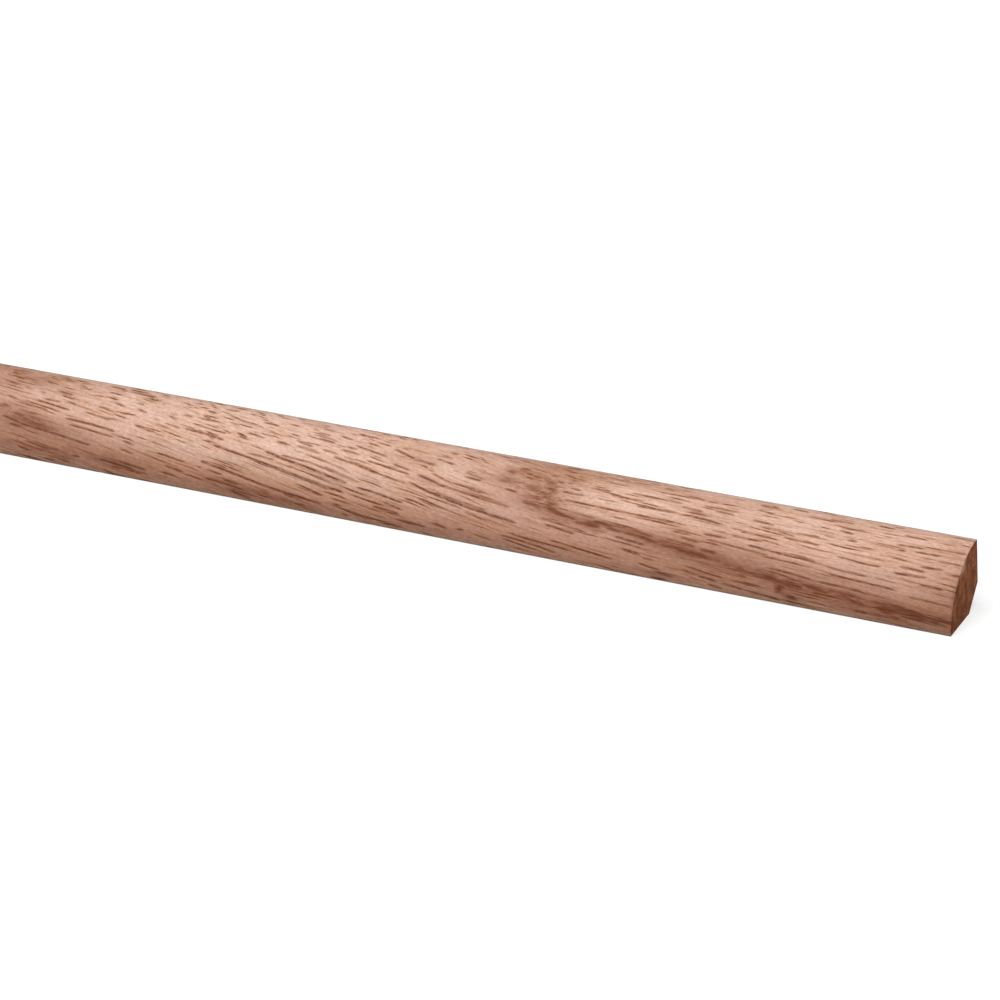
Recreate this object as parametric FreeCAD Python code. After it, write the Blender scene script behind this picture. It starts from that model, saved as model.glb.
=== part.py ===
"""Quarter round moulding: one straight stick of bare hardwood, moulded and cut square to length.

The section is a quarter circle whose two flat sides meet at a right angle. One flat side lies on the
floor and the other stands against the wall. The corner between them is bevelled off, so that the
stick seats tight in a corner that has dirt or glue in it. The two arrises of the round face are
lightly eased. Millimetres, +Z up, +X along the stick, +Y towards the wall. The origin is on the
floor face's plane, at mid-length and midway between the toe of the round face and the wall face.
"""
import FreeCAD, Part
import math
import os

V = FreeCAD.Vector

# Driving dimensions
STOCK_LENGTH = 2438.4  # the stick from end to end, 8 ft
LEG = 19.05            # each flat side to the corner that both would meet at, and the round's radius
BACK_BEVEL = 6.35      # how far the bevel cuts back each flat side from that corner
ARRIS_EASE = 0.4       # radius that takes the sharpness off the round face's two arrises

# Where the wall face, the toe of the round and the stick's ends lie
WALL_Y = LEG / 2
TOE_Y = WALL_Y - LEG
END_X = STOCK_LENGTH / 2


def section_face(x):
    """The moulding's section across the stick, square at its arrises, as a face at this x."""
    toe_of_round = V(x, TOE_Y, 0)
    bevel_on_floor_face = V(x, WALL_Y - BACK_BEVEL, 0)
    bevel_on_wall_face = V(x, WALL_Y, BACK_BEVEL)
    top_of_round = V(x, WALL_Y, LEG)
    half_way = math.radians(45)
    middle_of_round = V(x, WALL_Y - LEG * math.cos(half_way), LEG * math.sin(half_way))
    outline = Part.Wire([
        Part.makeLine(toe_of_round, bevel_on_floor_face),
        Part.makeLine(bevel_on_floor_face, bevel_on_wall_face),
        Part.makeLine(bevel_on_wall_face, top_of_round),
        Part.Arc(top_of_round, middle_of_round, toe_of_round).toShape(),
    ])
    return Part.Face(outline)


def long_edge_through(solid, y, z):
    """The edge that runs the length of the stick at this place in the section."""
    place = Part.Vertex(V(0, y, z))
    return min(solid.Edges, key=lambda edge: edge.distToShape(place)[0])


def quarter_round():
    """The stick: the section run from end to end, then its two sharp arrises eased."""
    stick = section_face(-END_X).extrude(V(STOCK_LENGTH, 0, 0))
    toe_arris = long_edge_through(stick, TOE_Y, 0)
    top_arris = long_edge_through(stick, WALL_Y, LEG)
    return stick.makeFillet(ARRIS_EASE, [toe_arris, top_arris])


os.makedirs("parts", exist_ok=True)
quarter_round().exportStep("parts/quarter_round.step")
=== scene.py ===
import math

import bpy
import numpy as np
from mathutils import Matrix, Vector


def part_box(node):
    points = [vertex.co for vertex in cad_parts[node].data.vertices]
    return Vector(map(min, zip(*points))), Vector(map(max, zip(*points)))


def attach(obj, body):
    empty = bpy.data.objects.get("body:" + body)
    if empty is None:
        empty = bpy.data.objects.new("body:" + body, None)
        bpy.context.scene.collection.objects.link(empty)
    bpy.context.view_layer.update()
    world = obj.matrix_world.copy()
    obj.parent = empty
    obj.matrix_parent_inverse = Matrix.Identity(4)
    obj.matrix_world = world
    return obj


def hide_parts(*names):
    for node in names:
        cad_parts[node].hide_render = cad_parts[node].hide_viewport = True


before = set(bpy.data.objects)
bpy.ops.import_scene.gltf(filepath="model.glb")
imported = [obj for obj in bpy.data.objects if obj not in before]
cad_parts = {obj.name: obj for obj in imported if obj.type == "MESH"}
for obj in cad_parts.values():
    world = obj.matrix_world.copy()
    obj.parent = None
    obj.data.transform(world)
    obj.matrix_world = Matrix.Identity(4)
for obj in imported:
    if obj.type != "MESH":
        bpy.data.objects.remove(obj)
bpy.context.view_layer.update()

# Camera, as it stood for the photograph: in front of the stick's near end, a little past it and above it,
# and turned a little about its own line of sight. Its place is measured, in metres, from the square corner
# that the two flat sides would meet at on the near sawn end.
stick_low, stick_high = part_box("quarter_round")
near_corner = Vector((stick_high.x, stick_high.y, stick_low.z))
CAMERA_FROM_CORNER = Vector((0.320208, -0.793339, 0.491962))
CAMERA_AZIMUTH = math.radians(30.181)
CAMERA_ELEVATION = math.radians(27.997)
CAMERA_ROLL = math.radians(-4.713)
LENS_TO_PICTURE_WIDTH = 3.75458

towards_camera = Vector((
    math.sin(CAMERA_AZIMUTH) * math.cos(CAMERA_ELEVATION),
    -math.cos(CAMERA_AZIMUTH) * math.cos(CAMERA_ELEVATION),
    math.sin(CAMERA_ELEVATION),
))
level_right = (-towards_camera).cross(Vector((0, 0, 1))).normalized()
level_up = towards_camera.cross(level_right)
right = math.cos(CAMERA_ROLL) * level_right + math.sin(CAMERA_ROLL) * level_up
up = math.cos(CAMERA_ROLL) * level_up - math.sin(CAMERA_ROLL) * level_right

camera = bpy.data.objects.new("camera", bpy.data.cameras.new("camera"))
bpy.context.scene.collection.objects.link(camera)
camera.data.sensor_width = 36
camera.data.lens = LENS_TO_PICTURE_WIDTH * camera.data.sensor_width
camera.data.clip_start = 0.05
camera.data.clip_end = 200
turned = Matrix((right, up, towards_camera)).transposed()
camera.matrix_world = Matrix.Translation(near_corner + CAMERA_FROM_CORNER) @ turned.to_4x4()
bpy.context.scene.camera = camera
bpy.context.scene.view_settings.view_transform = "Standard"


# Studio: a pale paper floor that reaches out of sight, open light from all round, a broad soft lamp high
# over the stick, and a weak one low beyond its near end. The floor and the sky look white, and the floor
# keeps a soft shadow.
def node(tree, kind, sockets=None, **settings):
    """A new node with these settings. A socket's value is a number, a colour or another node's output."""
    made = tree.nodes.new(kind)
    for name, value in settings.items():
        setattr(made, name, value)
    for name, value in (sockets or {}).items():
        if isinstance(value, bpy.types.NodeSocket):
            tree.links.new(value, made.inputs[name])
        else:
            made.inputs[name].default_value = value
    return made


def maths(tree, operation, *values, clamp=False):
    """The result of one sum on numbers or other nodes' outputs."""
    made = node(tree, "ShaderNodeMath", dict(enumerate(values)), operation=operation, use_clamp=clamp)
    return made.outputs[0]


def laid_over(tree, first, second, amount):
    """One colour with another laid over it by this much. Inputs 6 and 7 are a Mix node's colours."""
    sockets = {"Factor": amount, 6: first, 7: second}
    return node(tree, "ShaderNodeMix", sockets, data_type="RGBA", clamp_factor=True).outputs[2]


def seen_directly(tree):
    """1 for what the camera sees straight, or in a polished or clear surface, and 0 for light on the
    object."""
    path = node(tree, "ShaderNodeLightPath").outputs
    straight_or_polished = maths(tree, "MAXIMUM", path["Is Camera Ray"], path["Is Glossy Ray"])
    return maths(tree, "MAXIMUM", straight_or_polished, path["Is Transmission Ray"])


SKY_LIGHT = 0.12
world = bpy.data.worlds.new("studio")
world.use_nodes = True
bpy.context.scene.world = world
sky = world.node_tree
sky_range = {"Value": seen_directly(sky), "To Min": SKY_LIGHT, "To Max": 1}
sky_strength = node(sky, "ShaderNodeMapRange", sky_range)
background = sky.nodes["Background"]
background.inputs["Color"].default_value = (1, 1, 1, 1)
sky.links.new(sky_strength.outputs[0], background.inputs["Strength"])


def soft_lamp(name, azimuth, elevation, breadth, strength):
    """A far lamp in this direction, its azimuth from the front towards the near end, and this broad in the
    sky, all in degrees. At strength 1 it alone shows a surface that faces it at its own colour."""
    light = bpy.data.lights.new(name, "SUN")
    light.angle = math.radians(breadth)
    light.energy = strength * math.pi
    lamp = bpy.data.objects.new(name, light)
    bpy.context.scene.collection.objects.link(lamp)
    azimuth, elevation = math.radians(azimuth), math.radians(elevation)
    level = math.cos(elevation)
    towards = Vector((math.sin(azimuth) * level, -math.cos(azimuth) * level, math.sin(elevation)))
    lamp.rotation_euler = towards.to_track_quat("Z", "Y").to_euler()


soft_lamp("main_lamp", azimuth=-35, elevation=75, breadth=50, strength=0.88)
soft_lamp("fill_lamp", azimuth=120, elevation=12, breadth=40, strength=0.36)

FLOOR_REACH = 90
floor_mesh = bpy.data.meshes.new("floor")
corners = [(x * FLOOR_REACH, y * FLOOR_REACH, stick_low.z) for x, y in ((-1, -1), (1, -1), (1, 1), (-1, 1))]
floor_mesh.from_pydata(corners, [], [(0, 1, 2, 3)])
floor = bpy.data.objects.new("floor", floor_mesh)
bpy.context.scene.collection.objects.link(floor)
paper = bpy.data.materials.new("studio_paper")
paper.use_nodes = True
tree = paper.node_tree
tree.nodes.clear()
PAPER_IN_LIGHT = (0.18, 0.175, 0.17, 1)
PAPER_AS_SEEN = (0.42, 0.42, 0.42, 1)
PAPER_GLOW = 0.66
seen = seen_directly(tree)
paper_colour = laid_over(tree, PAPER_IN_LIGHT, PAPER_AS_SEEN, seen)
matt = node(tree, "ShaderNodeBsdfDiffuse", {"Color": paper_colour})
glow = node(tree, "ShaderNodeEmission", {"Strength": maths(tree, "MULTIPLY", seen, PAPER_GLOW)})
both = node(tree, "ShaderNodeAddShader", {0: matt.outputs[0], 1: glow.outputs[0]})
tree.links.new(both.outputs[0], node(tree, "ShaderNodeOutputMaterial").inputs["Surface"])
floor_mesh.materials.append(paper)


# Quarter round: one straight stick of bare, open-pored reddish hardwood. It was run through a moulder,
# which cut the quarter-circle face, the two flat sides and the bevel between them in one pass, and
# then sawn square to length. The toe and the top of the round face are lightly eased.
mm = 0.001
WALL_Y = stick_high.y / mm
LEG = 2 * WALL_Y
BACK_BEVEL = LEG / 3
ARRIS_EASE = 0.4
SAWN_EDGE_EASE = 0.12
END_X = stick_high.x / mm
STOCK_LENGTH = 2 * END_X

# The section's sides are drawn in this many steps each.
FLAT_STEPS = 8
BEVEL_STEPS = 6
ARRIS_STEPS = 4
ROUND_STEPS = 150


def straight(start, end, steps):
    """Points and outward directions along a straight side of the section."""
    start, end = np.array(start), np.array(end)
    share = np.linspace(0, 1, steps + 1)[:, None]
    along = (end - start) / np.linalg.norm(end - start)
    return start + share * (end - start), np.repeat([[along[1], -along[0]]], steps + 1, 0)


def arc(centre, radius, start, end, steps):
    """Points and outward directions along an arc of the section, between two angles in degrees."""
    turn = np.radians(np.linspace(start, end, steps + 1))
    out = np.stack([np.cos(turn), np.sin(turn)], 1)
    return np.array(centre) + radius * out, out


def moulded_section():
    """The section, from the eased toe round by floor side, bevel, wall side and top to the toe again:
    its points, their outward directions, and which points are the bevel's two sharp corners."""
    reach = LEG - ARRIS_EASE
    lean = math.degrees(math.asin(ARRIS_EASE / reach))
    tangent = math.sqrt(reach ** 2 - ARRIS_EASE ** 2)
    toe_centre = (WALL_Y - tangent, ARRIS_EASE)
    top_centre = (WALL_Y - ARRIS_EASE, tangent)
    floor_side = straight((toe_centre[0], 0), (WALL_Y - BACK_BEVEL, 0), FLAT_STEPS)
    bevel = straight((WALL_Y - BACK_BEVEL, 0), (WALL_Y, BACK_BEVEL), BEVEL_STEPS)
    wall_side = straight((WALL_Y, BACK_BEVEL), (WALL_Y, top_centre[1]), FLAT_STEPS)
    top_arris = arc(top_centre, ARRIS_EASE, 0, 90 + lean, ARRIS_STEPS)
    round_face = arc((WALL_Y, 0), LEG, 90 + lean, 180 - lean, ROUND_STEPS)
    toe_arris = arc(toe_centre, ARRIS_EASE, 180 - lean, 270, ARRIS_STEPS)
    sides = (floor_side, bevel, wall_side, top_arris, round_face, toe_arris)
    points = np.concatenate([points[:-1] for points, out in sides])
    outward = np.concatenate([out[:-1] for points, out in sides])
    return points, outward, (FLAT_STEPS, FLAT_STEPS + BEVEL_STEPS)


SHOWN_LENGTH = 305
CLOSE_STEP = 1.0
WIDE_STEP = 11.5


def stations():
    """Places along the stick, back from the near sawn end: close together where the photograph shows it,
    and further apart over the rest."""
    near = [0, SAWN_EDGE_EASE, 0.5, *np.arange(1.2, SHOWN_LENGTH - 1, CLOSE_STEP)]
    widening = near[-1] + np.cumsum(np.linspace(1.5, 10, 12))
    rest = np.arange(widening[-1] + WIDE_STEP, STOCK_LENGTH - 6, WIDE_STEP)
    far_end = [STOCK_LENGTH - 0.8, STOCK_LENGTH - SAWN_EDGE_EASE, STOCK_LENGTH]
    return np.concatenate([near, widening, rest, far_end])


section, section_out, bevel_corners = moulded_section()
back_from_end = stations()
rows, columns = len(back_from_end), len(section)

places = np.zeros((rows, columns, 3))
places[:, :, 0] = (END_X - back_from_end)[:, None]
places[:, :, 1:] = section
places[[0, -1], :, 1:] -= SAWN_EDGE_EASE * section_out

# The saw has left the round face's rims a little ragged, where it broke out some fibres. The points of the
# round face are those that look forward and up.
RAGGED = 0.3
chance = np.random.default_rng(4)
on_round = section_out @ (-1, 1) > 0.95
broken_out = chance.uniform(-0.4, 1, (2, columns)).clip(0)
broken_out = RAGGED * on_round * (broken_out + np.roll(broken_out, 1, 1)) / 2
for rim, inner, towards_middle, breaks in ((0, 1, -1, broken_out[0]), (-1, -2, 1, broken_out[1])):
    places[rim, :, 0] += towards_middle * breaks
    places[inner, :, 0] += towards_middle * breaks

# The sawn ends are rings that close in on the middle of the section.
CAP_RINGS = (0.985, 0.86, 0.72, 0.58, 0.44, 0.3, 0.17, 0.06)
middle = np.array([WALL_Y - 0.4 * LEG, 0.39 * LEG])
caps = []
for end_x, rim in ((END_X, places[0]), (-END_X, places[-1])):
    for share in CAP_RINGS:
        caps.append(np.column_stack([np.full(columns, end_x), middle + share * (rim[:, 1:] - middle)]))
    caps.append(np.array([[end_x, *middle]]))
points = np.concatenate([places.reshape(-1, 3), *caps])
skin = rows * columns
cap = len(CAP_RINGS) * columns + 1

index = np.arange(skin).reshape(rows, columns)
beside = np.roll(index, -1, 1)
long_faces = np.stack([index[:-1], index[1:], beside[1:], beside[:-1]], 2).reshape(-1, 4)


def sawn_end_faces(rim, first, near):
    """The faces of one sawn end: bands of quads from ring to ring, and a fan at the middle."""
    rings = np.concatenate([[rim], first + np.arange(cap - 1).reshape(-1, columns)])
    turned = np.roll(rings, -1, 1)
    bands = np.stack([rings[:-1], turned[:-1], turned[1:], rings[1:]], 2).reshape(-1, 4)
    fan = np.stack([rings[-1], turned[-1], np.full(columns, first + cap - 1)], 1)
    both = [*bands.tolist(), *fan.tolist()]
    return both if near else [face[::-1] for face in both]


near_end_faces = sawn_end_faces(index[0], skin, True)
far_end_faces = sawn_end_faces(index[-1], skin + cap, False)
faces = [*long_faces.tolist(), *near_end_faces, *far_end_faces]
stick_mesh = bpy.data.meshes.new("quarter_round_stick")
stick_mesh.from_pydata(points * mm, [], faces)
stick_mesh.polygons.foreach_set("use_smooth", np.ones(len(faces), bool))
stick = bpy.data.objects.new("quarter_round_stick", stick_mesh)
bpy.context.scene.collection.objects.link(stick)

# Each point's place on the long faces: how far back from the near end, and how far round from the toe,
# up the round face, over the top, and down the wall side and the bevel to the floor side.
back = END_X - points[:, 0]
side_lengths = np.linalg.norm(np.roll(section, -1, 0) - section, axis=1)
outline_length = side_lengths.sum()
from_toe = (outline_length - np.concatenate([[0], np.cumsum(side_lengths[:-1])])) % outline_length
around = np.concatenate([np.tile(from_toe, rows), np.zeros(2 * cap)])
ROUND_LENGTH = LEG * math.pi / 2
on_skin = np.arange(len(points)) < skin
in_picture = on_skin & (back < SHOWN_LENGTH) & (around < ROUND_LENGTH + 1)

# How the fibres run, as their slope across and up the stick. Where the photograph shows it they slant down
# the round face towards the near end, and level out past the curl. Further back they wander gently.
SLOPE_AT = (0, 90, 112, 138, 240, 300, 330)
FIBRES_ACROSS = (-0.01, -0.02, -0.03, -0.075, -0.075, -0.05, -0.05)
FIBRES_UP = (-0.065, -0.055, -0.08, -0.14, -0.145, -0.10, -0.08)
WANDER_FROM = 330
WANDER_BUILDS_OVER = 120
each_mm = np.arange(0, STOCK_LENGTH + 2)
wander = np.clip((each_mm - WANDER_FROM) / WANDER_BUILDS_OVER, 0, 1)
wander_across = wander * (0.05 + 0.06 * np.sin(each_mm / 97))
wander_up = wander * (0.08 + 0.07 * np.sin(each_mm / 141) + 0.04 * np.sin(each_mm / 67))
across_slope = np.interp(each_mm, SLOPE_AT, FIBRES_ACROSS) + wander_across
up_slope = np.interp(each_mm, SLOPE_AT, FIBRES_UP) + wander_up
slopes = np.stack([np.interp(back, each_mm, slope) for slope in (across_slope, up_slope)], 1)
drift = np.stack([np.interp(back, each_mm, np.cumsum(slope)) for slope in (across_slope, up_slope)], 1)
grain = np.column_stack([points[:, 0], points[:, 1:] + drift])

# The curl, where the fibres swell out of the round face round a small knot and dip back into it.
CURL_BACK, CURL_UP = 125, 20
CURL_LENGTH, CURL_WIDTH, CURL_LIFT = 7.5, 5.5, 3.4
turn = CURL_UP / LEG
curl_out = np.array([-math.cos(turn), math.sin(turn)])
curl = np.array([END_X - CURL_BACK, WALL_Y + LEG * curl_out[0], LEG * curl_out[1]])
away = (points - curl) / [CURL_LENGTH, CURL_WIDTH, CURL_WIDTH]
lift = CURL_LIFT * np.exp(-(away ** 2).sum(1))
grain[:, 1:] -= lift[:, None] * curl_out

# How far a point shows the fibres end on: fully on the sawn ends, and hardly at all on the long faces.
facing_out = np.zeros((len(points), 3))
facing_out[:skin, 1:] = np.tile(section_out, (rows, 1))
facing_out[skin:, 0] = 1
fibre = np.column_stack([np.ones(len(points)), slopes])
end_on = np.abs((fibre * facing_out).sum(1))
end_grain = np.clip((end_on - 0.2) / 0.6, 0, 1)

# On the near end the saw bruised the rim pale near the top of the round, on the cap's two outer rings.
BRUISE_UP = 19.5
BRUISE_HALF_LENGTH = 2.2
BRUISED_BY = (0.85, 0.5)
near_bruise = np.exp(-((np.tile(from_toe, 2) - BRUISE_UP) / BRUISE_HALF_LENGTH) ** 2)
end_grain[skin:skin + 2 * columns] *= 1 - np.repeat(BRUISED_BY, columns) * near_bruise


def mark(strength, back_mm, around_mm, half_length, half_height, fall=0):
    """How strongly a soft mark shows at each point of the long faces. It falls that many degrees
    towards the near end."""
    lean = math.radians(fall)
    along = back - back_mm
    over = (around - around_mm + outline_length / 2) % outline_length - outline_length / 2
    length_share = (along * math.cos(lean) + over * math.sin(lean)) / half_length
    height_share = (over * math.cos(lean) - along * math.sin(lean)) / half_height
    return on_skin * strength * np.exp(-length_share ** 2 - height_share ** 2)


LINE_HALF_WIDTH = 0.33
BROAD_HALF_WIDTH = 0.43
DASH_HALF_WIDTH = 0.38
LINE_FADES_OVER = 2
line_core = np.zeros(len(points))
line_strength = np.zeros(len(points))


def line(strength, *stops, half_width=LINE_HALF_WIDTH):
    """Draws a dark line through these places on the round face, each a distance back and a distance up
    from the toe. Its core is 1 in the middle of the line."""
    stops = np.array(stops[::-1], float)
    height = np.interp(back, stops[:, 0], stops[:, 1])
    from_ends = np.minimum(back - stops[0, 0], stops[-1, 0] - back)
    ends = np.clip(from_ends / LINE_FADES_OVER + 0.4, 0, 1)
    core = on_skin * ends * np.exp(-((around - height) / half_width) ** 2)
    line_strength[:] = np.where(core > line_core, strength, line_strength)
    line_core[:] = np.maximum(core, line_core)


def dashes(strength, *far_and_near_ends):
    """Draws short dark dashes, each given by the distance back and the distance up of its two ends."""
    for far_back, far_up, near_back, near_up in far_and_near_ends:
        line(strength, (far_back, far_up), (near_back, near_up), half_width=DASH_HALF_WIDTH)


# The ruddy, dark, tan and pale patches that the photograph shows, listed towards the near end. Each has its
# strength, how far back and how far up from the toe it lies, half its length and height, and its fall.
ruddy = sum([
    mark(1.0, 302, 25.5, 15, 7),
    mark(0.8, 297, 11.5, 14, 5),
    mark(0.6, 284, 25, 17, 5),
    mark(0.5, 283, 10.5, 12, 2.5, 6),
    mark(0.4, 276, 19.3, 7, 1.2),
    mark(0.6, 274, 11, 13, 2.6, 6),
    mark(0.3, 270, 4.5, 30, 2.5),
    mark(0.5, 205, 2, 30, 1.6),
    mark(0.5, 162, 21.5, 6, 1.6),
    mark(0.35, 140, 21, 20, 7),
    mark(0.6, 121, 20, 13, 9, 10),
    mark(0.5, 116, 25.5, 9, 3),
    mark(0.6, 111, 13.4, 9, 1.8, 4),
    mark(0.7, 102, 12, 22, 2.6, 6),
    mark(0.6, 98, 27, 28, 2.2),
    mark(0.5, 72, 18.5, 12, 3.5),
    mark(0.8, 70, 11, 26, 4.6, 3),
    mark(0.3, 50, 27, 40, 1.6),
    mark(0.4, 40, 8, 40, 4),
    mark(0.3, 16, 15, 16, 6),
    mark(0.4, 15, 5, 22, 4),
    mark(0.9, -2, 14, 9, 13),
])
deep = sum([
    mark(0.5, 297, 14.2, 6, 0.9, 14),
    mark(0.55, 296.5, 25.1, 3.5, 0.9),
    mark(0.4, 296, 27, 9, 1.3, 8),
    mark(0.3, 292, 14.5, 13, 2.4, 8),
    mark(0.45, 288, 26, 3.5, 1.1, 20),
    mark(0.45, 285, 3.5, 20, 2.2, 3),
    mark(0.45, 285, 12, 6, 1.5, 6),
    mark(0.35, 284, 9.5, 24, 2.6, 6),
    mark(1.0, 281.5, 28, 3, 0.9, 12),
    mark(0.4, 275, 3.5, 9, 1.6, 4),
    mark(0.35, 262, 27.6, 18, 0.7),
    mark(0.6, 259, 3.8, 4, 1, 5),
    mark(0.4, 256, 27.3, 4, 0.6, 4),
    mark(0.45, 252, 4.5, 16, 2.4, 5),
    mark(0.6, 219, 3.9, 9, 1.9, 7),
    mark(0.35, 217, 3.8, 5, 1.2, 10),
    mark(0.4, 203, 2.8, 11, 1.3, 5),
    mark(0.45, 196, 2.6, 14, 1.2, 5),
    mark(0.4, 195, 27.2, 6, 0.9, 8),
    mark(0.35, 165, 1.6, 3, 0.8),
    mark(0.45, 159, 21.2, 4, 0.8, 6),
    mark(0.45, 157, 16.3, 5, 1, 10),
    mark(0.5, 152, 26, 1.6, 1, 16),
    mark(0.3, 150, 3, 25, 1.6),
    mark(0.4, 144, 28, 2, 0.7, 20),
    mark(0.55, 134, 20.5, 3.5, 1.4, 10),
    mark(0.4, 133, 22.8, 2.4, 1.3, 30),
    mark(0.15, 133, 20.6, 2.4, 1.2),
    mark(0.55, 130, 24.8, 3.6, 1.2, -14),
    mark(0.6, 127, 28.2, 12, 1),
    mark(0.2, 126, 20, 4, 0.8, 20),
    mark(0.6, 122, 16.4, 5, 1.6, 12),
    mark(0.4, 122, 22.4, 4, 1, 8),
    mark(0.52, 122, 20.5, 10, 5.5),
    mark(0.35, 122, 14, 5, 1.5, 8),
    mark(0.45, 118.5, 17.8, 3, 2.6, 20),
    mark(0.95, 116, 13.8, 4, 1, 12),
    mark(0.45, 107, 27.2, 3.5, 0.8),
    mark(1.3, 105, 12.2, 5, 1.2, -1),
    mark(0.7, 98, 12.6, 10, 0.9, 3),
    mark(0.6, 90, 11.2, 10, 1.1, 6),
    mark(0.5, 83, 2.2, 6, 0.7),
    mark(0.7, 75, 9.9, 12, 1.7, 6),
    mark(0.42, 62, 8.4, 20, 2.8, 5),
    mark(0.45, 50, 7, 13, 1.3, 4),
    mark(1.5, 48.3, 4.5, 1.1, 0.9),
    mark(0.8, 45, 1.2, 1.4, 0.6),
    mark(1.0, 45, 2.8, 3, 0.8, 5),
    mark(0.6, 44, 6.4, 2.4, 1.2),
    mark(0.45, 34, 6, 17, 1.7, 4),
    mark(0.2, 22, 2.4, 20, 1.2),
    mark(0.45, 20, 4, 22, 2.6, 4),
    mark(0.75, 13, 4.9, 14, 1.4, 5),
    mark(0.4, 5, 3.4, 12, 0.8, 4),
])
tan = sum([
    mark(0.6, 281, 27.6, 5, 1.4, 8),
    mark(0.4, 248, 24.4, 6, 1.4),
    mark(0.6, 244, 8, 10, 1.8, 6),
    mark(0.5, 212, 8.6, 16, 1.3, 8),
    mark(1.2, 205.5, 4.4, 2.2, 0.7),
    mark(0.6, 168, 5.5, 3.5, 0.8),
    mark(0.6, 163, 25, 8, 4),
    mark(0.5, 124, 24, 12, 3.4),
    mark(0.6, 111, 26, 9, 1.8),
    mark(0.4, 30, 25.6, 5, 1.8),
])
pale = sum([
    mark(0.5, 284, 20.5, 9, 1.8, 4),
    mark(0.5, 268, 1.8, 18, 1.2),
    mark(0.7, 257, 22, 5, 5),
    mark(0.5, 236, 14, 9, 2.6, 7),
    mark(0.6, 226, 22.5, 5, 3),
    mark(0.6, 222, 21, 36, 9),
    mark(1.3, 210, 10.2, 24, 2.4, 7),
    mark(0.5, 205, 17.5, 12, 1.2, 8),
    mark(0.6, 198, 22.5, 7, 1.4, 8),
    mark(0.5, 190, 7, 14, 1.5, 6),
    mark(0.8, 182, 12.6, 22, 2, 6),
    mark(0.5, 180, 17, 16, 2.6, 8),
    mark(1.1, 153, 10.4, 12, 2, 7),
    mark(0.7, 150, 19.6, 7, 1.8, 8),
    mark(0.5, 98, 10.4, 8, 1.4, 4),
    mark(0.8, 98, 20.5, 16, 3.6),
    mark(0.6, 98, 15.4, 14, 0.9),
    mark(0.5, 75, 17, 6, 1.4),
    mark(0.6, 52, 23, 8, 2.4),
    mark(0.5, 36, 2.8, 7, 1.5),
    mark(0.7, 33, 18.2, 9, 2),
])

# The dark lines that the photograph shows, and then the short dashes, listed towards the near end too.
line(1.0, (296.7, 11.9), (289, 10.4), (276, 9.2), (265.2, 7.9))
line(0.8, (290.7, 16.5), (282.3, 15.9))
line(0.7, (287.8, 5.8), (279.8, 4.6))
line(0.9, (275.7, 14.5), (266, 14.0), (258, 13.2), half_width=BROAD_HALF_WIDTH)
line(0.8, (274, 12.9), (257.8, 11.5))
line(0.9, (262.3, 4.5), (249.8, 3.2))
line(0.8, (255.3, 8.6), (250.3, 7.8))
line(0.8, (254, 21.5), (249.8, 20.4), half_width=BROAD_HALF_WIDTH)
line(0.9, (252.3, 16.3), (245.3, 15.1), half_width=BROAD_HALF_WIDTH)
line(0.9, (243, 9.5), (232.8, 8.2))
line(0.8, (236, 18), (228.4, 17.4), (222.2, 16.6), half_width=BROAD_HALF_WIDTH)
line(0.8, (234.3, 20), (226.3, 19), (221.8, 18.7))
line(1.0, (228.2, 9.5), (219.7, 8.2), (206.8, 5.9), (201.3, 5.2), (187.6, 3.7), half_width=BROAD_HALF_WIDTH)
line(0.8, (226.3, 4.9), (218.4, 4.1), (213, 3.4))
line(0.9, (225.5, 14.7), (213.8, 13.1), (202.2, 11.3), (187.6, 9), (181, 8.2), half_width=BROAD_HALF_WIDTH)
line(0.7, (214.3, 20), (209.7, 19.4))
line(0.6, (213.8, 14.2), (204.3, 13.6))
line(1.0, (208.4, 15.7), (202.6, 14.5), (193, 13.1), (180.5, 10.9), half_width=BROAD_HALF_WIDTH)
line(0.7, (203, 15.4), (193, 14.7), (176.3, 11.7))
line(0.8, (200, 20.6), (194, 19.5))
line(0.7, (199.3, 19), (191.3, 17.8))
line(0.7, (195.9, 7.4), (187.6, 6))
line(0.8, (195.5, 16.9), (186.8, 15.6))
line(0.8, (186.8, 17.7), (178.8, 16.6), (171.3, 15.3), half_width=BROAD_HALF_WIDTH)
line(0.8, (184.7, 6), (178.4, 5.2))
line(0.8, (181.8, 22.7), (179.3, 22), (170.5, 20.7))
line(0.9, (177.2, 10.3), (172.2, 9.9), (162, 8.4))
line(0.9, (176.3, 18.4), (162, 16.6))
line(1.0, (162, 14.5), (155.8, 13), (148.3, 11.5), (138.7, 10.1), (126.6, 8.8), half_width=BROAD_HALF_WIDTH)
line(0.9, (159.5, 17), (151.6, 15.2), (145.3, 14.4), (138.7, 13.7), (129.5, 12.7),
     half_width=BROAD_HALF_WIDTH)
line(0.8, (155.8, 18.2), (149.5, 16.5), (142, 15.9), (137, 15.2))
line(0.7, (153.7, 13), (145.3, 11.8), (136, 10.6))
line(0.8, (146.2, 20.5), (138.7, 19))
line(1.0, (131.2, 4.7), (122, 3.8), (114, 2.5))
line(0.7, (128.7, 5.8), (120.3, 4.5))
line(0.9, (126.6, 15.2), (120.8, 14.4))
line(0.8, (120.3, 11.5), (112, 10.5), (105.8, 9.7))
line(1.0, (117, 13.9), (113.7, 13.2), (109, 12.6))
line(0.9, (116.2, 5.9), (107.8, 5), (97, 3.8))
line(0.9, (114.5, 17.6), (102.8, 17.2), (87.4, 17), (81, 16.9))
line(0.9, (109, 12.2), (102, 11.7))
line(1.3, (104.5, 13), (98, 12.9), half_width=0.42)
line(0.7, (97.6, 13.1), (92, 12.8), (86, 11.8))
line(0.9, (94.9, 7.3), (89, 6.6), half_width=0.45)
line(0.9, (90.5, 11.3), (84.5, 10.4))
line(0.9, (89.7, 4.3), (82.8, 3.2))
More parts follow.
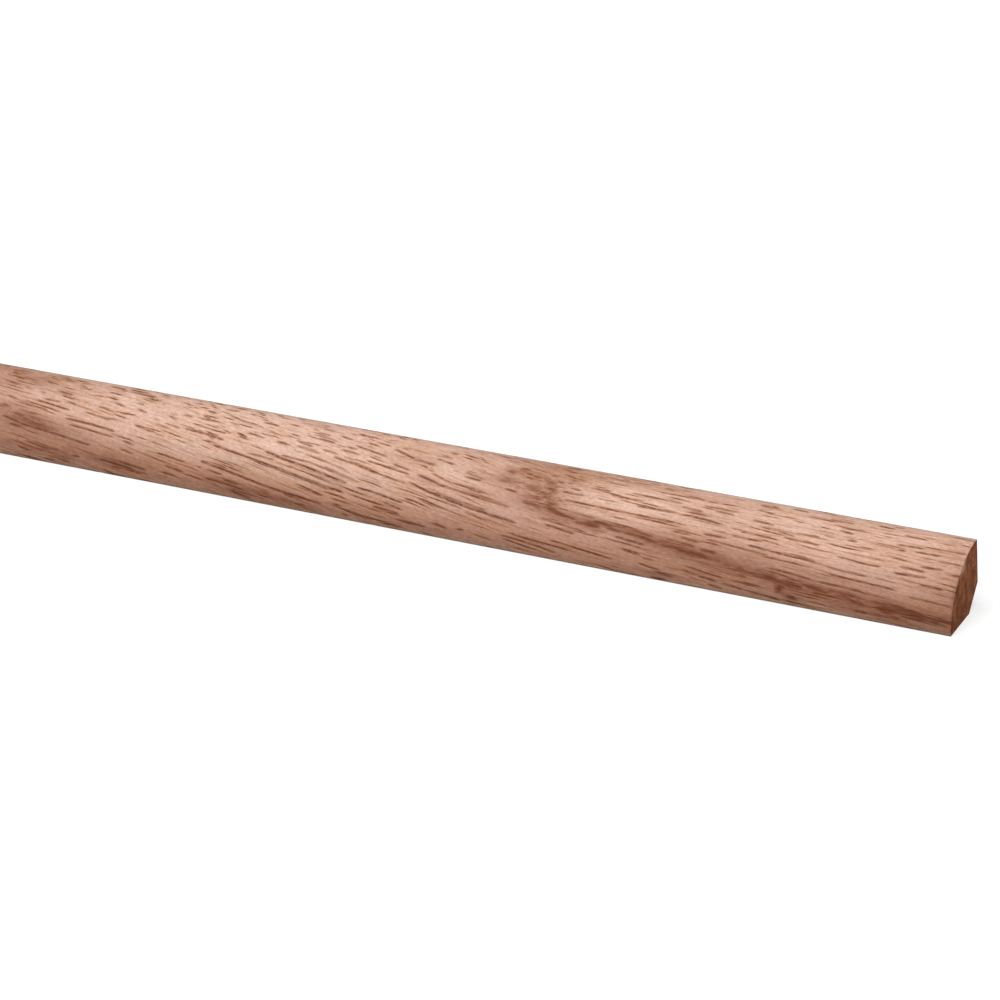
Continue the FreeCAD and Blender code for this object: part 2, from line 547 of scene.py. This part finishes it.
line(1.0, (84.5, 2.7), (82, 2.4), (79, 1.9), half_width=0.42)
line(0.8, (81, 19.4), (76, 19.7), (69.8, 19))
line(0.7, (76, 5.9), (68.5, 4.9), (64.3, 4.5))
line(0.7, (71, 14), (62.7, 13.4), (52.7, 12.7))
line(0.9, (59.3, 14.5), (51.8, 14), (45.6, 13.6), (39, 13.4))
line(0.8, (57.7, 2.4), (47.7, 1.3))
line(0.9, (57.7, 7.4), (49.3, 6.8))
line(0.8, (57.3, 20.3), (51.8, 19.9), (46.8, 19.1))
line(0.8, (51.8, 9.5), (43.5, 9), (39.3, 8.5))
line(0.8, (37.7, 8.4), (29.3, 8.1), (24.8, 7.8))
line(0.7, (36, 12.6), (24.3, 12))
line(0.9, (35.2, 10.9), (26.8, 10.4), (16, 10))
line(0.8, (33.9, 15.9), (26.8, 15.3), (21.4, 15.2))
line(0.7, (19.3, 5.7), (10.2, 5.0), (2.7, 3.4))
line(0.7, (12.3, 8.8), (0, 8.3))
line(0.8, (7.3, 19.7), (0, 19.5))
dashes(0.9, (300.7, 27.8, 298, 26.5), (299.5, 25.6, 294.5, 24.6), (299.4, 22.8, 294.8, 22.3),
       (287.8, 25.9, 284.6, 24.9), (287.3, 21.3, 285, 21), (282, 22.6, 276, 22),
       (281.7, 17.8, 274.8, 17), (265.7, 25.7, 261, 25.3), (265.7, 23.8, 260.9, 23.2),
       (254.8, 23.6, 252, 23), (243, 21, 239.3, 20.1), (232.6, 23.2, 229.3, 22.7),
       (225, 25.3, 217.6, 23.4), (213.6, 23.2, 211.8, 22.6), (206, 19.2, 201, 18.7),
       (194.7, 24.7, 190.5, 24.2), (193.8, 22.6, 188, 22), (183, 27, 177.6, 26.3),
       (170, 23.8, 162, 21.5), (160.3, 20.1, 157, 19.6), (156.2, 23.1, 150, 22),
       (148.3, 26.3, 143.7, 25.7), (145.8, 19, 140, 18.5), (132.8, 17.7, 128.7, 17.2),
       (130.3, 20.3, 128.6, 20.1), (126.5, 19, 125, 18.6), (121.2, 20, 117.4, 19.9),
       (119.4, 18.3, 117.8, 17.9), (118.7, 16, 116.4, 15.7), (118.7, 23, 116.2, 22.4),
       (113.5, 21.4, 110.5, 21.1), (40, 27, 33, 26.9), (36, 24.7, 29, 24.8), (33, 21.1, 29.8, 20.9),
       (26.8, 27.9, 21.4, 27.7), (19.3, 22.4, 11.4, 22.6), (19.3, 20.9, 16, 20.8),
       (18.5, 25.9, 11.8, 25.7), (17.7, 14.3, 8.5, 14.5), (16.8, 16.3, 9.3, 16),
       (13.9, 21.2, 6.4, 21.2), (11, 17.2, 4.8, 17.4), (10.2, 12.6, 3, 12.2), (6.4, 23.2, 0, 23.3))
dashes(0.8, (294, 9.9, 289, 9.5), (290.7, 3.8, 286, 3), (279, 28.3, 275, 28), (278.5, 5, 276, 4.9),
       (271.5, 4, 268.6, 4), (267, 28.4, 261, 27.9), (257, 27.3, 253, 26.9), (255.7, 4.9, 246, 3.8),
       (252, 3.2, 248, 2.6), (241, 4.2, 236, 3.7), (240, 6.3, 233, 5.3), (229.5, 7.8, 227.5, 7.6),
       (226, 27.5, 222, 27.2), (225.9, 7.4, 220.5, 6.7), (220.5, 5.5, 214.7, 4.7),
       (219, 27.4, 216.5, 27), (218, 2.6, 211, 1.1), (210.5, 25, 207.5, 24.3), (197, 25.6, 195, 25.3),
       (196.8, 2.4, 193, 2.2), (184.5, 4.4, 181, 4.2), (184, 21.6, 180.5, 21.2), (181.5, 1.9, 179, 1.7),
       (175, 2.2, 171.3, 1.9), (171.5, 6, 163, 5.1), (168.8, 7.8, 162, 6.4), (166.5, 1.5, 162, 1.2),
       (162, 9.8, 158.7, 9.4), (162, 21.6, 155.5, 20.6), (159.5, 3.2, 154.5, 2.8),
       (155, 24.6, 151.5, 24), (153.5, 26.4, 150.8, 25.6), (152.8, 4.5, 147.8, 3.6),
       (145, 3.9, 142.5, 4.1), (118.3, 9.9, 109, 8.8), (117.8, 25.9, 112.8, 24.7),
       (116.2, 19.9, 109, 19.8), (108.7, 22.6, 102, 22.7), (102, 21.5, 91.6, 21.3),
       (101, 28.2, 98.5, 27.6), (99.9, 12, 95.3, 11.6), (97.4, 10.2, 88, 9.3), (96.2, 23.4, 81, 23),
       (93.3, 19.7, 81, 19.7), (93, 28.6, 90, 28.3), (88.5, 27.6, 85, 27), (88.3, 5.9, 85, 5.7),
       (86, 0.9, 81, 0.8), (81, 22, 74.3, 21.5), (81, 26.1, 75, 25.5), (81, 14.5, 75.2, 14.4),
       (78.5, 13.2, 72.7, 12.7), (76.5, 4.6, 72, 3.9), (74.8, 23.6, 64.8, 23.4),
       (72.3, 15.3, 65.2, 15.2), (72, 3.8, 66, 3.3), (71.4, 22.6, 65.6, 22.3), (69, 2, 64.5, 1.4),
       (65, 3.1, 58.5, 2.3), (64.3, 16.3, 55.2, 16), (62.3, 17.8, 53, 17.6), (61, 6.3, 57.7, 5.9),
       (60.5, 27.8, 54, 27.2), (60.2, 22, 53.5, 21.3), (60.2, 25.7, 54.3, 24.9),
       (51.5, 28.6, 46.5, 28.2), (50.2, 18.4, 39.3, 18), (46, 20.2, 40.2, 20.3), (42.3, 7, 36.8, 6.3),
       (36, 23.6, 31.4, 23.1), (27, 2.4, 23, 2.3), (17, 2.8, 14, 2.4), (16, 4.9, 10, 4.7))
dashes(0.7, (298.2, 15.5, 294.8, 14.7), (297.3, 18.2, 293.2, 17.4), (293.2, 22.4, 290.5, 21.3),
       (293.2, 13.4, 289.4, 12.7), (291.5, 24.4, 289.6, 23.8), (284.8, 19.2, 279, 19),
       (277.3, 19.7, 273.2, 19), (276.5, 26.5, 273.2, 25.7), (269.8, 17.4, 260.3, 16.3),
       (266.5, 19.9, 262, 19.4), (254.8, 11.1, 250.7, 10.3), (243, 18.5, 237.2, 17.7),
       (238.4, 22.4, 235, 21.9), (231, 25, 228.4, 24.5), (223, 22.7, 219.7, 22),
       (218.4, 18.8, 214.3, 18), (213.2, 24.9, 208, 24.4), (209.7, 22, 204.7, 21.1),
       (200.5, 12.6, 197.6, 12.4), (190.9, 19.3, 185.5, 18.6), (188, 25, 183, 24.2),
       (185.5, 20.3, 178.8, 19.7), (176, 25.1, 171.3, 24.4), (170, 14.9, 162, 13.8),
       (168.4, 18.8, 162, 17.8), (154.5, 24.5, 152.4, 24.2), (153.3, 26.3, 150.5, 25.8))

# The thicker dark streaks: the curl's own, the sweep below it, and those that run on from it down the round.
line(0.6, (133.9, 23.4), (131.4, 22.9), half_width=0.5)
line(0.6, (130.8, 24.9), (127.8, 25.2), half_width=0.5)
line(0.9, (126.5, 14.9), (120.8, 14.5), half_width=0.45)
line(0.8, (124.8, 18.6), (121.5, 18.6), (119.8, 18), half_width=0.36)
line(0.4, (122.8, 22.4), (119.2, 22), half_width=0.4)
line(1.1, (118.2, 14.3), (115, 13.6), (112.5, 13), half_width=0.5)
line(0.9, (111.6, 13.1), (109.2, 12.6), half_width=0.4)
line(0.9, (109.5, 12.1), (106, 11.9), (102.5, 11.8), half_width=0.5)
line(0.8, (84, 10.2), (79.5, 9.9), half_width=0.4)
line(0.7, (82.5, 12.1), (79, 11.9), half_width=0.4)
line(1.2, (78.5, 9.7), (73.5, 8.9), half_width=0.4)
line(1.3, (78, 11.8), (73.5, 11.2), half_width=0.4)
line(1.1, (75.5, 9.5), (69, 9), half_width=0.36)
line(1.0, (72.5, 10.9), (67, 10.7), half_width=0.5)
line(0.8, (67.5, 8.8), (65.5, 8.7), half_width=0.4)
line(1.0, (56.5, 7.1), (53, 7), (49.5, 6.6), half_width=0.6)
line(0.8, (51.6, 1.8), (48, 1.3), half_width=0.5)
line(0.9, (49.4, 3.3), (47.8, 4.8), half_width=0.9)
line(0.9, (46.5, 2.8), (43, 2.4), half_width=0.6)
line(0.8, (41.3, 6.7), (36, 6.2), half_width=0.6)
line(0.9, (20, 5.5), (15, 5.4), (11.5, 5), (8, 4.4), half_width=0.7)

# The rest of the stick, and the sides that the photograph doesn't show, have marks of the same kinds.
elsewhere = 1.0 - in_picture


def scattered(count, strength, half_length, half_height):
    """Marks strewn over the whole stick, but for the part that the photograph shows."""
    strewn = sum(mark(chance.uniform(0.5, 1) * strength, chance.uniform(0, STOCK_LENGTH),
                      chance.uniform(0, outline_length), chance.uniform(0.5, 1.5) * half_length,
                      chance.uniform(0.6, 1.6) * half_height, chance.uniform(-4, 4)) for _ in range(count))
    return elsewhere * strewn


ruddy = ruddy + scattered(160, strength=0.6, half_length=90, half_height=4)
deep = deep + scattered(90, strength=0.7, half_length=40, half_height=1.5)
tan = tan + scattered(50, strength=0.6, half_length=22, half_height=2.5)
pale = pale + scattered(70, strength=0.6, half_length=24, half_height=2.4)

# The lower half of the round face is redder and darker, partly the wood's own red and partly painted shade
# of its lower side. Both arrises carry a greyish painted shade.
RED_AND_SHADE_AT = (0, 2.5, 5, 7.5, 10, 15, 19, ROUND_LENGTH)
RED_AND_SHADE_BY = (0.35, 0.8, 0.9, 0.65, 0.25, 0.1, 0, 0)
red_and_shade = on_skin * np.interp(around, RED_AND_SHADE_AT, RED_AND_SHADE_BY)
# Painted shade: it deepens over the top of the round face into the top arris, and at the toe it stands for
# the floor's contact shadow.
EDGE_SHADE_AT = (0, 1, 2, 18, 22, 26, 28, 29.4, 31, 33, outline_length - 2, outline_length)
EDGE_SHADE_BY = (0.7, 0.2, 0, 0, 0.25, 0.3, 0.5, 1, 0.9, 0.2, 0.1, 0.7)
edge_shade_and_smudge = on_skin * np.interp(around, EDGE_SHADE_AT, EDGE_SHADE_BY)

# The near sawn end carries painted shade next to its rim too, less of it under the round face. A smudge lies
# on the round face's rim there, about half way up.
UNDER_ROUND_RIM = 0.4
UNDER_FLAT_RIM = 0.9
edge_shade_and_smudge[skin:skin + columns] = np.where(from_toe < ROUND_LENGTH, UNDER_ROUND_RIM, UNDER_FLAT_RIM)
SMUDGE_UP = 11.5
SMUDGE_HALF_LENGTH = 2.4
SMUDGE_WIDTH = 0.9
SMUDGE_STRENGTH = 0.8
smudge = SMUDGE_STRENGTH * np.exp(-((around - SMUDGE_UP) / SMUDGE_HALF_LENGTH) ** 2)
edge_shade_and_smudge += on_skin * (back < SMUDGE_WIDTH) * smudge

stored_values = {
    "end_grain": end_grain,
    "ruddy": ruddy,
    "deep": deep,
    "tan": tan,
    "pale": pale,
    "red_and_shade": red_and_shade,
    "edge_shade_and_smudge": edge_shade_and_smudge,
    "line_core": line_core,
    "line_strength": line_strength,
}
for name, values in stored_values.items():
    made = stick_mesh.attributes.new(name, "FLOAT", "POINT")
    made.data.foreach_set("value", np.clip(values, 0, 1.5).astype(np.float32))
made = stick_mesh.attributes.new("grain", "FLOAT_VECTOR", "POINT")
made.data.foreach_set("vector", grain.astype(np.float32).ravel())


def stored(tree, name, vector=False):
    """What the stick's points hold under this name, in a material or in a relief."""
    if tree.type == "SHADER":
        return node(tree, "ShaderNodeAttribute", attribute_name=name).outputs["Vector" if vector else "Fac"]
    kind = "FLOAT_VECTOR" if vector else "FLOAT"
    return node(tree, "GeometryNodeInputNamedAttribute", {"Name": name}, data_type=kind).outputs[0]


def vector_sum(tree, operation, *values):
    """The result of one sum on vectors."""
    return node(tree, "ShaderNodeVectorMath", dict(enumerate(values)), operation=operation).outputs[0]


def ramped(tree, value, low, high, to_low=0.0, to_high=1.0, soft=False):
    """A number taken from one range to another and held there."""
    way = "SMOOTHSTEP" if soft else "LINEAR"
    sockets = {"Value": value, "From Min": low, "From Max": high, "To Min": to_low, "To Max": to_high}
    return node(tree, "ShaderNodeMapRange", sockets, interpolation_type=way).outputs[0]


def figure_noise(tree, place, sizes, detail=1.0, roughness=0.5):
    """Soft random variation whose patches have about these sizes in millimetres, along, across and up."""
    scaled = vector_sum(tree, "DIVIDE", place, sizes)
    sockets = {"Vector": scaled, "Scale": 1, "Detail": detail, "Roughness": roughness}
    return node(tree, "ShaderNodeTexNoise", sockets)


def vessels(tree, place, sizes, thin, thick):
    """How far a point lies in one of the long thin vessels that run along the fibres, 0 to 1, and how
    far in the stained wood round one. Each has a place of about these sizes in millimetres, and its
    radius is a share of them, from thin to thick. Some vessels are closed and hardly show."""
    scaled = vector_sum(tree, "DIVIDE", place, sizes)
    cells = node(tree, "ShaderNodeTexVoronoi", {"Vector": scaled, "Scale": 1})
    by_chance = node(tree, "ShaderNodeSeparateXYZ", {0: cells.outputs["Color"]}).outputs
    radius = ramped(tree, by_chance[0], 0, 1, thin, thick)
    apart = maths(tree, "DIVIDE", cells.outputs["Distance"], radius)
    open_wide = ramped(tree, by_chance[1], 0.1, 0.65)
    inside = maths(tree, "MULTIPLY", ramped(tree, apart, 1.05, 0.6, soft=True), open_wide)
    stained = maths(tree, "MULTIPLY", ramped(tree, apart, 2.6, 0.8, soft=True), open_wide)
    return inside, stained


# Sizes in the grain, in millimetres along, across and up the stick.
FIBRE_WAVES = (14, 3, 3)
WAVE_DEPTH = (0, 1.4, 1.4)
PORE_CROWDS = (30, 4, 4)
PORE_BREAKS = (1.3, 0.4, 0.4)
LINE_UNEVENNESS = (4, 0.8, 0.8)
LONG_PORES = (36, 0.9, 0.9)
SHORT_PORES = (20, 0.75, 0.75)
SHORT_PORES_SHIFT = (31, 7.3, 4.1)
SMALL_PORES = (16, 0.45, 0.45)
FIBRE_STREAKS = (8, 0.3, 0.3)
GRIT = (1.3, 0.36, 0.36)
MOTTLING = (6, 1.4, 1.4)
END_BLOTCHES = (9, 1.8, 3.4)
RIPPLE_WANDER = (12, 5, 5)


def open_pores(tree):
    """The wavy grain, the large and the small open pores in it, and the stain round the large ones."""
    grain = stored(tree, "grain", vector=True)
    waves = figure_noise(tree, grain, FIBRE_WAVES).outputs["Color"]
    waves = vector_sum(tree, "SUBTRACT", waves, (0.5, 0.5, 0.5))
    wavy = vector_sum(tree, "ADD", grain, vector_sum(tree, "MULTIPLY", waves, WAVE_DEPTH))
    crowd = ramped(tree, figure_noise(tree, grain, PORE_CROWDS).outputs[0], 0.38, 0.50, 0.35, 1)
    broken = ramped(tree, figure_noise(tree, wavy, PORE_BREAKS).outputs[0], 0.32, 0.50, 0.5, 1)
    uneven = ramped(tree, figure_noise(tree, wavy, LINE_UNEVENNESS).outputs[0], 0.36, 0.56, 0.55, 1.15)
    shifted = vector_sum(tree, "ADD", wavy, SHORT_PORES_SHIFT)
    first, first_stain = vessels(tree, wavy, LONG_PORES, 0.22, 0.37)
    second, second_stain = vessels(tree, shifted, SHORT_PORES, 0.22, 0.36)
    strewn = maths(tree, "MULTIPLY", maths(tree, "MAXIMUM", first, second), crowd)
    core = stored(tree, "line_core")
    drawn = maths(tree, "MULTIPLY", ramped(tree, core, 0.25, 0.8), stored(tree, "line_strength"))
    drawn = maths(tree, "MULTIPLY", drawn, uneven)
    large = maths(tree, "MULTIPLY", maths(tree, "MAXIMUM", strewn, drawn), broken)
    stain = maths(tree, "MULTIPLY", maths(tree, "MAXIMUM", first_stain, second_stain), crowd)
    stain = maths(tree, "MAXIMUM", stain, ramped(tree, core, 0.05, 0.6))
    small, _ = vessels(tree, wavy, SMALL_PORES, 0.16, 0.34)
    return wavy, large, small, stain


# The larger pores are cut into the stick itself, as shallow grooves.
PORE_DEPTH = 0.07
relief = bpy.data.node_groups.new("pore_relief", "GeometryNodeTree")
relief.interface.new_socket("Geometry", in_out="INPUT", socket_type="NodeSocketGeometry")
relief.interface.new_socket("Geometry", in_out="OUTPUT", socket_type="NodeSocketGeometry")
whole = node(relief, "NodeGroupInput").outputs[0]
large = open_pores(relief)[1]
depth = maths(relief, "MULTIPLY", large, -PORE_DEPTH * mm)
outwards = node(relief, "GeometryNodeInputNormal").outputs[0]
inwards = node(relief, "ShaderNodeVectorMath", {0: outwards, "Scale": depth}, operation="SCALE").outputs[0]
grooved = node(relief, "GeometryNodeSetPosition", {"Geometry": whole, "Offset": inwards}).outputs[0]
relief.links.new(grooved, node(relief, "NodeGroupOutput").inputs[0])
stick.modifiers.new("pore_relief", "NODES").node_group = relief
carved = bpy.data.meshes.new_from_object(stick.evaluated_get(bpy.context.evaluated_depsgraph_get()))
stick.modifiers.clear()
stick.data = carved

# The bevel's two corners and the rims of the sawn ends stay crisp.
edges = np.zeros(2 * len(carved.edges), np.int32)
carved.edges.foreach_get("vertices", edges)
edges = edges.reshape(-1, 2)
on_long_face = (edges < skin).all(1)
column, row = edges % columns, edges // columns
along_corner = (column[:, 0] == column[:, 1]) & np.isin(column[:, 0], bevel_corners)
round_rim = (row[:, 0] == row[:, 1]) & np.isin(row[:, 0], (0, rows - 1))
crisp = carved.attributes.new("sharp_edge", "BOOLEAN", "EDGE")
crisp.data.foreach_set("value", on_long_face & (along_corner | round_rim))

# The wood's colours, and the tones that some of its places multiply them by.
PALE_WOOD = (0.833, 0.536, 0.416, 1)
DEEP_WOOD = (0.59, 0.335, 0.237, 1)
LIGHTEST_WOOD = (0.893, 0.605, 0.477, 1)
TAN_WOOD = (0.62, 0.34, 0.185, 1)
RED_BROWN = (0.31, 0.118, 0.066, 1)
RED_AND_SHADE_TONE = (0.95, 0.76, 0.66)
STAIN_TONE = (0.86, 0.75, 0.65)
SHADE_AND_SMUDGE_TONE = (0.64, 0.68, 0.71)
END_GRAIN_DARK = (0.195, 0.056, 0.016, 1)
END_GRAIN_LIGHT = (0.40, 0.135, 0.048, 1)
PORE = (0.26, 0.100, 0.056, 1)
PORED_TONE = (0.74, 0.66, 0.60)

wood = bpy.data.materials.new("bare_hardwood")
wood.use_nodes = True
tree = wood.node_tree
shader = tree.nodes["Principled BSDF"]
wavy, large, small, stain = open_pores(tree)


def toned(tree, colour, tone, amount):
    """A colour multiplied by a tone, by this much."""
    return laid_over(tree, colour, vector_sum(tree, "MULTIPLY", colour, tone), amount)


# The patches are mottled and streaked, the fibres and the planed surface's grit lighten and darken the
# wood, and the pores lie over that. The sawn ends are blotched instead.
SMALL_PORE_SHARE = 0.5
fibres = figure_noise(tree, wavy, FIBRE_STREAKS, 2, 0.6).outputs[0]
grit = figure_noise(tree, wavy, GRIT, 2, 0.65).outputs[0]
mottle = figure_noise(tree, wavy, MOTTLING, 2, 0.6).outputs[0]
blotches = figure_noise(tree, wavy, END_BLOTCHES, 2, 0.5).outputs[0]
mottled = ramped(tree, mottle, 0.36, 0.60, 0.35, 1.15)
streaked = ramped(tree, fibres, 0.35, 0.6, 0.5, 1.1)
patches = maths(tree, "MULTIPLY", mottled, streaked)
colour = laid_over(tree, PALE_WOOD, DEEP_WOOD, stored(tree, "ruddy"))
colour = laid_over(tree, colour, LIGHTEST_WOOD, stored(tree, "pale"))
colour = laid_over(tree, colour, TAN_WOOD, maths(tree, "MULTIPLY", stored(tree, "tan"), patches))
colour = laid_over(tree, colour, RED_BROWN, maths(tree, "MULTIPLY", stored(tree, "deep"), patches))
# Painted shade, partly the wood's own red: the lower half of the round face is redder and darker.
colour = toned(tree, colour, RED_AND_SHADE_TONE, stored(tree, "red_and_shade"))
colour = toned(tree, colour, STAIN_TONE, stain)
fibre_lightness = ramped(tree, fibres, 0.25, 0.75, 0.88, 1.12)
grit_lightness = ramped(tree, grit, 0.28, 0.72, 0.82, 1.19)
lightness = maths(tree, "MULTIPLY", fibre_lightness, grit_lightness)
colour = node(tree, "ShaderNodeVectorMath", {0: colour, "Scale": lightness}, operation="SCALE").outputs[0]
small_pores = maths(tree, "MULTIPLY", small, SMALL_PORE_SHARE)
pored = maths(tree, "MAXIMUM", large, small_pores)
colour = laid_over(tree, colour, PORE, pored)
sawn = laid_over(tree, END_GRAIN_DARK, END_GRAIN_LIGHT, ramped(tree, blotches, 0.40, 0.62))
sawn = toned(tree, sawn, PORED_TONE, pored)
colour = laid_over(tree, colour, sawn, stored(tree, "end_grain"))
# Painted shade along the arrises and round the near end's rim, together with the smudge.
colour = toned(tree, colour, SHADE_AND_SMUDGE_TONE, stored(tree, "edge_shade_and_smudge"))
tree.links.new(colour, shader.inputs["Base Color"])

# Bare planed wood hardly shines, and its pores are rougher still.
FACE_ROUGHNESS = (0.55, 0.68)
PORE_ROUGHER_BY = 0.2
rough = ramped(tree, fibres, 0.3, 0.7, *FACE_ROUGHNESS)
rough = maths(tree, "ADD", rough, maths(tree, "MULTIPLY", large, PORE_ROUGHER_BY), clamp=True)
tree.links.new(rough, shader.inputs["Roughness"])
shader.inputs["Specular IOR Level"].default_value = 0.05

GRIT_HEIGHT = 0.6
height = maths(tree, "SUBTRACT", maths(tree, "MULTIPLY", grit, GRIT_HEIGHT), large)
height = maths(tree, "SUBTRACT", height, small_pores)

RIPPLES_SHIFT_BY = 4


def ripples(tree, along_axis, apart_mm):
    """Even ripples along one axis of the stick, from 0 to 1, a little unsteady in their spacing."""
    place = node(tree, "ShaderNodeTexCoord").outputs["Object"]
    unsteady = figure_noise(tree, stored(tree, "grain"), RIPPLE_WANDER).outputs[0]
    metres = node(tree, "ShaderNodeSeparateXYZ", {0: place}).outputs[along_axis]
    shift = maths(tree, "MULTIPLY", unsteady, RIPPLES_SHIFT_BY)
    turns = maths(tree, "MULTIPLY_ADD", metres, 2 * math.pi / (apart_mm * mm), shift)
    return maths(tree, "MULTIPLY_ADD", maths(tree, "SINE", turns), 0.5, 0.5)


# The moulder's knives left faint ripples across the long faces, and the saw left finer ones on the ends.
KNIFE_MARKS_APART = 1.6
KNIFE_MARK_HEIGHT = 0.12
SAW_MARKS_APART = 0.7
SAW_MARK_HEIGHT = 0.5
BUMP_HEIGHT = 0.08
BUMP_STRENGTH = 0.6
knife_marks = maths(tree, "MULTIPLY", ripples(tree, "X", KNIFE_MARKS_APART), KNIFE_MARK_HEIGHT)
saw_marks = maths(tree, "MULTIPLY", ripples(tree, "Z", SAW_MARKS_APART), stored(tree, "end_grain"))
height = maths(tree, "ADD", height, maths(tree, "MULTIPLY_ADD", saw_marks, SAW_MARK_HEIGHT, knife_marks))
bump_sockets = {"Height": height, "Distance": BUMP_HEIGHT * mm, "Strength": BUMP_STRENGTH}
bump = node(tree, "ShaderNodeBump", bump_sockets)
tree.links.new(bump.outputs[0], shader.inputs["Normal"])
carved.materials.clear()
carved.materials.append(wood)

# A map on which the wood's colours can be baked. The stick lies on it in four strips, the first of them the
# part that the photograph shows, and the sawn ends stand beside them.
STRIPS_FROM = (0, SHOWN_LENGTH, 1016, 1727)
STRIPS = len(STRIPS_FROM)
STRIP_WIDTH = 0.93
STRIP_MARGIN = 0.02
row_from, row_to = back_from_end[:-1], back_from_end[1:]
strip = np.searchsorted(STRIPS_FROM, row_from, side="right") - 1
strip_starts = np.array([row_from[strip == number].min() for number in range(STRIPS)])
strip_lengths = np.diff(np.append(strip_starts, STOCK_LENGTH))
map_from = STRIP_WIDTH * (row_from - strip_starts[strip]) / strip_lengths[strip]
map_to = STRIP_WIDTH * (row_to - strip_starts[strip]) / strip_lengths[strip]
share_round = np.append(0, np.cumsum(side_lengths)) / outline_length
round_strip = STRIP_MARGIN + (1 - 2 * STRIP_MARGIN) * share_round
lower, upper = round_strip[:-1], round_strip[1:]
on_map = np.zeros((rows - 1, columns, 4, 2))
on_map[..., 0] = np.stack([map_from, map_to, map_to, map_from], 1)[:, None]
on_map[..., 1] = (strip[:, None, None] + np.stack([lower, lower, upper, upper], 1)) / STRIPS

# A sawn end is drawn at the size END_ON_MAP, the near one at the map's lower right and the far one over it.
END_ON_MAP = (0.055, 0.1)
ENDS_FROM_LEFT = 0.94
FAR_END_HIGHER_BY = 0.13
corner_points = np.zeros(len(carved.loops), np.int32)
carved.loops.foreach_get("vertex_index", corner_points)
end_points = points[corner_points[on_map.size // 2:]]
ends_on_map = (end_points[:, 1:] / LEG + (0.5, 0)) * END_ON_MAP + (ENDS_FROM_LEFT, STRIP_MARGIN)
ends_on_map[:, 1] += FAR_END_HIGHER_BY * (end_points[:, 0] < 0)
layer = carved.uv_layers.new(name="OFBake")
whole_map = np.concatenate([on_map.reshape(-1, 2), ends_on_map])
layer.uv.foreach_set("vector", whole_map.astype(np.float32).ravel())

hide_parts("quarter_round")
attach(stick, "root")
